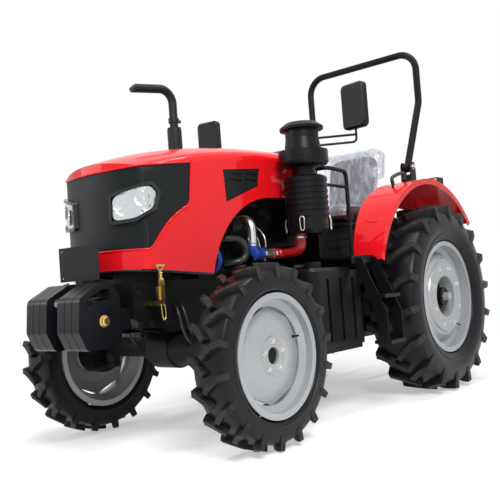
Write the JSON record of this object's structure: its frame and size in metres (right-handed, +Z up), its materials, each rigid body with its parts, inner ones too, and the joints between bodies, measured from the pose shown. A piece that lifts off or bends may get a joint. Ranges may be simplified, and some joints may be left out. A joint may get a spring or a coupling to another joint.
{
  "type": "farm tractor",
  "caption": "Four-wheel-drive farm tractor with a tilting hood, open driver's place, folding roll bar, nose weights and a rear three-point hitch.",
  "frame": {"origin": "on the ground, under the middle of the tractor's box", "axes": "+X forward, +Y to the driver's left, +Z up"},
  "size_m": [3.8478, 1.78, 2.708],
  "materials": {
    "tyre": "matte",
    "silver_paint": "satin",
    "cast_iron": "satin",
    "steel": "satin",
    "black_paint": "satin",
    "bare_metal": "cast",
    "blue_rubber": "satin",
    "red_rubber": "satin",
    "red_paint": "gloss",
    "dark_plastic": "satin",
    "lamp_glass": "clear",
    "lamp_plastic": "gloss",
    "zinc": "plated",
    "seat_leather": "satin",
    "weight_iron": "satin"
  },
  "bodies": {
    "chassis": {"front_axle": "cast_iron", "front_frame": "black_paint", "engine": "cast_iron", "gearbox": "cast_iron", "radiator": "black_paint", "charge_pipe": "bare_metal", "blue_hose": "blue_rubber", "red_elbow": "red_rubber", "hood_latches": "zinc", "floor": "black_paint", "dash": "dark_plastic", "seat_base": "black_paint", "seat_cushion": "seat_leather", "seat_back": "seat_leather", "levers": "black_paint", "fender_left": "red_paint", "fender_right": "red_paint", "handrails": "black_paint", "rear_lamps": "lamp_plastic", "rops_posts": "black_paint", "fuel_tank": "dark_plastic", "battery_box": "dark_plastic", "steps": "black_paint", "air_cleaner": "dark_plastic", "exhaust": "black_paint", "mirrors": "dark_plastic", "weights": "weight_iron", "number_plate": "black_paint", "drawbar": "black_paint", "top_link": "steel"},
    "hood": {"hood_shell": "red_paint", "hood_panels": "dark_plastic", "headlamps": "lamp_glass"},
    "roll_bar": {"rops_hoop": "black_paint"},
    "steer_left": {"knuckle_left": "cast_iron"},
    "steer_right": {"knuckle_right": "cast_iron"},
    "steering_rod": {"steering_rod": "steel"},
    "steering_wheel": {"steering_wheel": "dark_plastic"},
    "wheel_front_left": {"tyre_front_left": "tyre", "rim_front_left": "silver_paint"},
    "wheel_front_right": {"tyre_front_right": "tyre", "rim_front_right": "silver_paint"},
    "wheel_rear_left": {"tyre_rear_left": "tyre", "rim_rear_left": "silver_paint"},
    "wheel_rear_right": {"tyre_rear_right": "tyre", "rim_rear_right": "silver_paint"},
    "lower_links": {"lower_links": "black_paint"},
    "lift_arms": {"lift_arms": "cast_iron"},
    "lift_rods": {"lift_rods": "steel"}
  },
  "joints": [
    {"name": "hood_tilt", "type": "hinge", "parent": "chassis", "child": "hood", "pos_m": [0.2395, 0, 1.69], "axis": [0, -1, 0], "range_deg": [0, 50]},
    {"name": "roll_bar_fold", "type": "hinge", "parent": "chassis", "child": "roll_bar", "pos_m": [-1.1945, 0, 1.715], "axis": [0, -1, 0], "range_deg": [0, 90]},
    {"name": "steer_left", "type": "hinge", "parent": "chassis", "child": "steer_left", "pos_m": [1.1045, 0.545, 0.54], "axis": [0, 0, 1], "range_deg": [-40, 40]},
    {"name": "steer_right", "type": "hinge", "parent": "chassis", "child": "steer_right", "pos_m": [1.1045, -0.545, 0.54], "axis": [0, 0, 1], "range_deg": [-40, 40]},
    {"name": "steer_rod_slide", "type": "slide", "parent": "chassis", "child": "steering_rod", "axis": [0, 1, 0], "range_m": [-0.122, 0.122]},
    {"name": "steering_wheel_turn", "type": "hinge", "parent": "chassis", "child": "steering_wheel", "pos_m": [-0.1905, 0, 1.64], "axis": [-0.4695, 0, 0.8829], "range_deg": [-361, 361]},
    {"name": "wheel_front_left_spin", "type": "hinge", "parent": "steer_left", "child": "wheel_front_left", "pos_m": [1.1045, 0.711, 0.495], "axis": [0, 1, 0], "continuous": true},
    {"name": "wheel_front_right_spin", "type": "hinge", "parent": "steer_right", "child": "wheel_front_right", "pos_m": [1.1045, -0.711, 0.495], "axis": [0, 1, 0], "continuous": true},
    {"name": "wheel_rear_left_spin", "type": "hinge", "parent": "chassis", "child": "wheel_rear_left", "pos_m": [-0.9255, 0.692, 0.682], "axis": [0, 1, 0], "continuous": true},
    {"name": "wheel_rear_right_spin", "type": "hinge", "parent": "chassis", "child": "wheel_rear_right", "pos_m": [-0.9255, -0.692, 0.682], "axis": [0, 1, 0], "continuous": true},
    {"name": "hitch_lift", "type": "hinge", "parent": "chassis", "child": "lower_links", "pos_m": [-1.0755, 0, 0.5], "axis": [0, 1, 0], "range_deg": [-10, 28]},
    {"name": "lift_arms_turn", "type": "hinge", "parent": "chassis", "child": "lift_arms", "pos_m": [-1.0755, 0, 0.985], "axis": [0, 1, 0], "range_deg": [-18, 49.5]},
    {"name": "lift_rods_swing", "type": "hinge", "parent": "lift_arms", "child": "lift_rods", "pos_m": [-1.32307, 0, 1.01979], "axis": [0, 1, 0], "range_deg": [-43.11, 15.72]}
  ],
  "couplings": [
    {"joint": "steer_right", "follows": "steer_left", "ratio": 1},
    {"joint": "steer_rod_slide", "follows": "steer_left", "m_per_rad": -0.157},
    {"joint": "steering_wheel_turn", "follows": "steer_left", "ratio": 9},
    {"joint": "lift_arms_turn", "follows": "hitch_lift", "ratio": 1.75},
    {"joint": "lift_rods_swing", "follows": "hitch_lift", "ratio": -1.5216}
  ]
}
